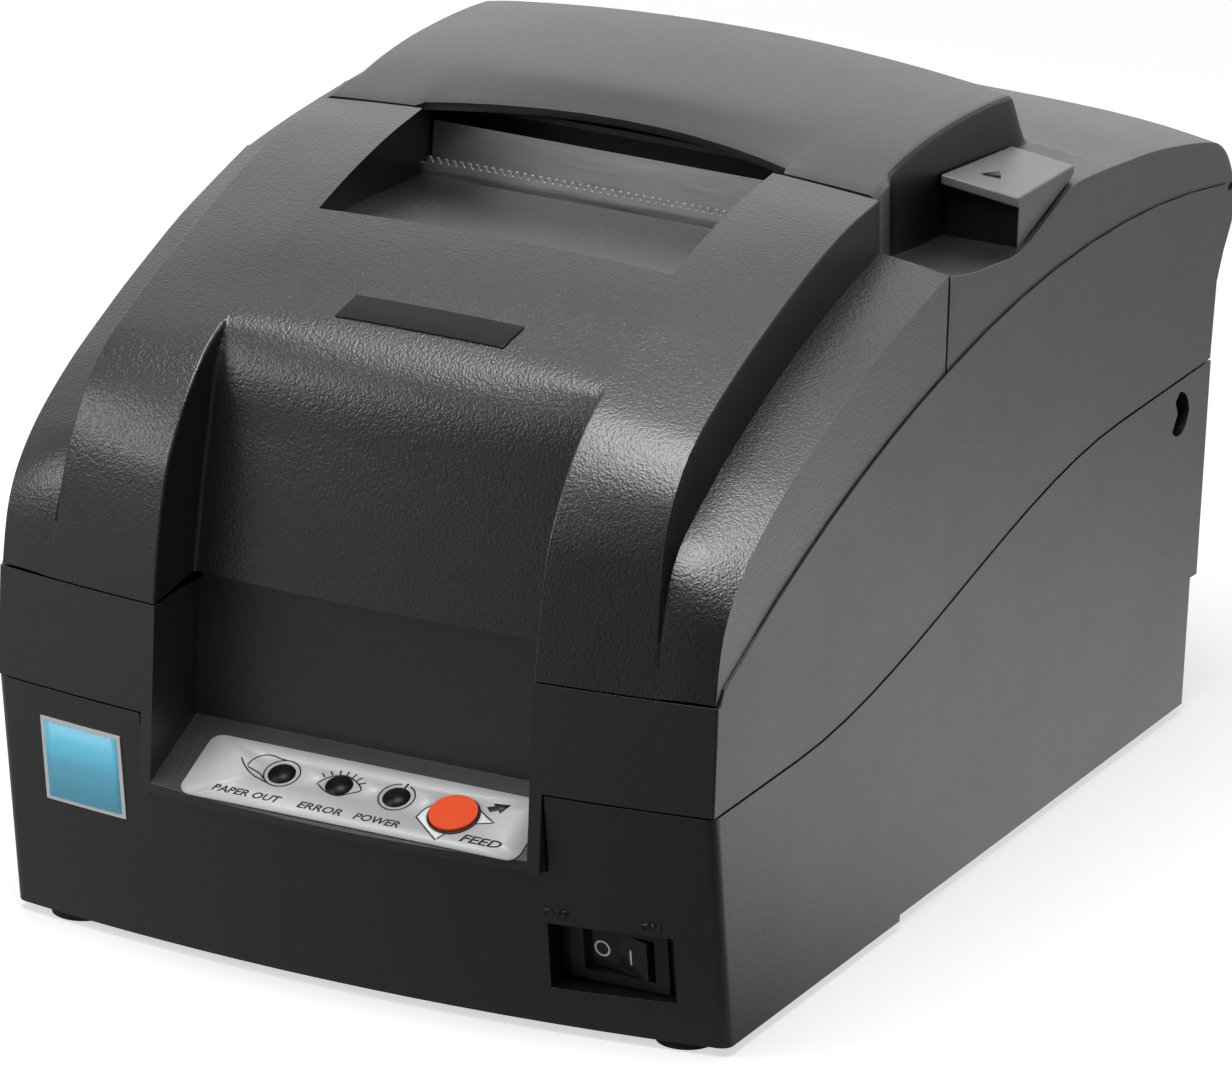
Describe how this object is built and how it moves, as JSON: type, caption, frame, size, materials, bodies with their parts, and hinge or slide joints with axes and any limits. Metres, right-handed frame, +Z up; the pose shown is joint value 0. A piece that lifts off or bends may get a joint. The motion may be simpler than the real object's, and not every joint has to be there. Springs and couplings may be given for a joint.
{
  "type": "receipt printer",
  "caption": "Desktop impact receipt printer with a hinged roll cover, a tip-up front cover over the ribbon, and a sloping control panel with lamps, feed button and power rocker.",
  "frame": {"origin": "centre of the overall box on the plane of the tabletop", "axes": "+X to the printer's right as seen from the front, +Y to the rear, +Z up; the front faces -Y"},
  "size_m": [0.16, 0.2567, 0.1554],
  "materials": {
    "case_plastic": "fine grain, near black",
    "gloss_black": "smooth and glossy",
    "black_plastic": "satin",
    "sticker_blue": "printed film",
    "label_grey": "printed film",
    "lamp_dark": "unlit lamp windows",
    "board_green": "lacquered circuit board",
    "button_orange": "satin orange",
    "steel": "turned or ground",
    "zinc_sheet": "plated sheet",
    "motor_metal": "dull plated can",
    "white_nylon": "moulded nylon",
    "brass": "turned",
    "roller_rubber": "matt rubber",
    "head_metal": "dark anodised fins",
    "flat_cable": "flat ribbon cable",
    "ribbon_cloth": "inked cloth",
    "knob_blue": "moulded"
  },
  "bodies": {
    "base": {"lower_case": "case_plastic", "mid_case": "case_plastic", "cover_hinge_pin": "steel", "front_sticker": "sticker_blue", "control_label": "label_grey", "led_lenses": "lamp_dark", "panel_board": "board_green", "switch_housing": "black_plastic", "front_tear_bar": "steel", "idler_post": "steel", "feed_motor": "motor_metal", "pinch_shaft": "steel", "mech_frame": "zinc_sheet", "carriage_rod": "steel", "guide_rail": "zinc_sheet", "drive_belt": "roller_rubber", "carriage_motor": "motor_metal", "ribbon_cartridge": "black_plastic", "ribbon_band": "ribbon_cloth", "paper_well": "black_plastic", "paper_guide": "zinc_sheet", "near_end_sensor": "black_plastic", "main_board": "board_green", "board_screws": "steel", "case_screws": "steel", "rubber_feet": "roller_rubber", "interface_plate": "zinc_sheet", "usb_socket": "zinc_sheet", "drawer_socket": "black_plastic", "power_inlet": "black_plastic"},
    "front_cover": {"front_cover": "case_plastic", "name_plate": "gloss_black"},
    "paper_cover": {"paper_cover": "case_plastic", "latch_hooks": "zinc_sheet", "rear_tear_plate": "steel", "platen_bar": "black_plastic", "roller_bracket": "zinc_sheet", "roller_bushes": "white_nylon", "lever_pin": "steel", "lever_spring": "steel"},
    "lever": {"cover_lever": "case_plastic"},
    "feed_roller": {"feed_roller": "roller_rubber", "roller_shaft": "steel", "roller_gear": "white_nylon"},
    "idler": {"idler_gear": "white_nylon"},
    "pinion": {"motor_pinion": "brass"},
    "pinch": {"pinch_roller": "white_nylon"},
    "carriage": {"carriage": "black_plastic", "print_head": "head_metal", "head_cable": "flat_cable"},
    "drive_pulley": {"drive_pulley": "brass"},
    "idle_pulley": {"idle_pulley": "white_nylon"},
    "ribbon_knob": {"ribbon_knob": "knob_blue"},
    "feed_button": {"feed_button": "button_orange"},
    "rocker": {"switch_rocker": "gloss_black"}
  },
  "joints": [
    {"name": "front_cover_tip", "type": "hinge", "parent": "base", "child": "front_cover", "pos_m": [0, -0.12656, 0.0776], "axis": [1, 0, 0], "range_deg": [0, 70]},
    {"name": "paper_cover_hinge", "type": "hinge", "parent": "base", "child": "paper_cover", "pos_m": [0, 0.1259, 0.1164], "axis": [-1, 0, 0], "range_deg": [0, 95]},
    {"name": "lever_lift", "type": "hinge", "parent": "paper_cover", "child": "lever", "pos_m": [0.07, 0.0442, 0.1422], "axis": [-1, 0, 0], "range_deg": [0, 25], "stiffness_Nm_per_rad": 0.2, "springref_deg": -5.73},
    {"name": "feed_roll", "type": "hinge", "parent": "paper_cover", "child": "feed_roller", "pos_m": [0, -0.0065, 0.101], "axis": [1, 0, 0], "continuous": true},
    {"name": "idler_spin", "type": "hinge", "parent": "base", "child": "idler", "pos_m": [0.0565, -0.0065, 0.078], "axis": [1, 0, 0], "continuous": true},
    {"name": "pinion_spin", "type": "hinge", "parent": "base", "child": "pinion", "pos_m": [0.0565, -0.02341, 0.07184], "axis": [1, 0, 0], "continuous": true},
    {"name": "pinch_spin", "type": "hinge", "parent": "base", "child": "pinch", "pos_m": [0, -0.0183, 0.101], "axis": [1, 0, 0], "continuous": true},
    {"name": "carriage_slide", "type": "slide", "parent": "base", "child": "carriage", "axis": [1, 0, 0], "range_m": [-0.03, 0.03]},
    {"name": "drive_pulley_spin", "type": "hinge", "parent": "base", "child": "drive_pulley", "pos_m": [0.041, -0.059, 0.08], "axis": [0, 1, 0], "range_deg": [-344.5, 344.5]},
    {"name": "idle_pulley_spin", "type": "hinge", "parent": "base", "child": "idle_pulley", "pos_m": [-0.041, -0.059, 0.08], "axis": [0, 1, 0], "range_deg": [-344.5, 344.5]},
    {"name": "ribbon_knob_turn", "type": "hinge", "parent": "base", "child": "ribbon_knob", "pos_m": [0.044, -0.084, 0.108], "axis": [0, 0, 1], "continuous": true},
    {"name": "feed_press", "type": "slide", "parent": "base", "child": "feed_button", "axis": [0, 0.4026, -0.9154], "range_m": [0, 0.0008], "stiffness_N_per_m": 800, "springref_m": -0.0004},
    {"name": "power_rock", "type": "hinge", "parent": "base", "child": "rocker", "pos_m": [0.057, -0.10963, 0.01958], "axis": [0, -0.1979, 0.9802], "range_deg": [0, 20]}
  ],
  "couplings": [
    {"joint": "idler_spin", "follows": "feed_roll", "ratio": -0.91667},
    {"joint": "pinion_spin", "follows": "feed_roll", "ratio": 1.8333},
    {"joint": "pinch_spin", "follows": "feed_roll", "ratio": -1.75},
    {"joint": "drive_pulley_spin", "follows": "carriage_slide", "rad_per_m": 200},
    {"joint": "idle_pulley_spin", "follows": "carriage_slide", "rad_per_m": 200}
  ]
}
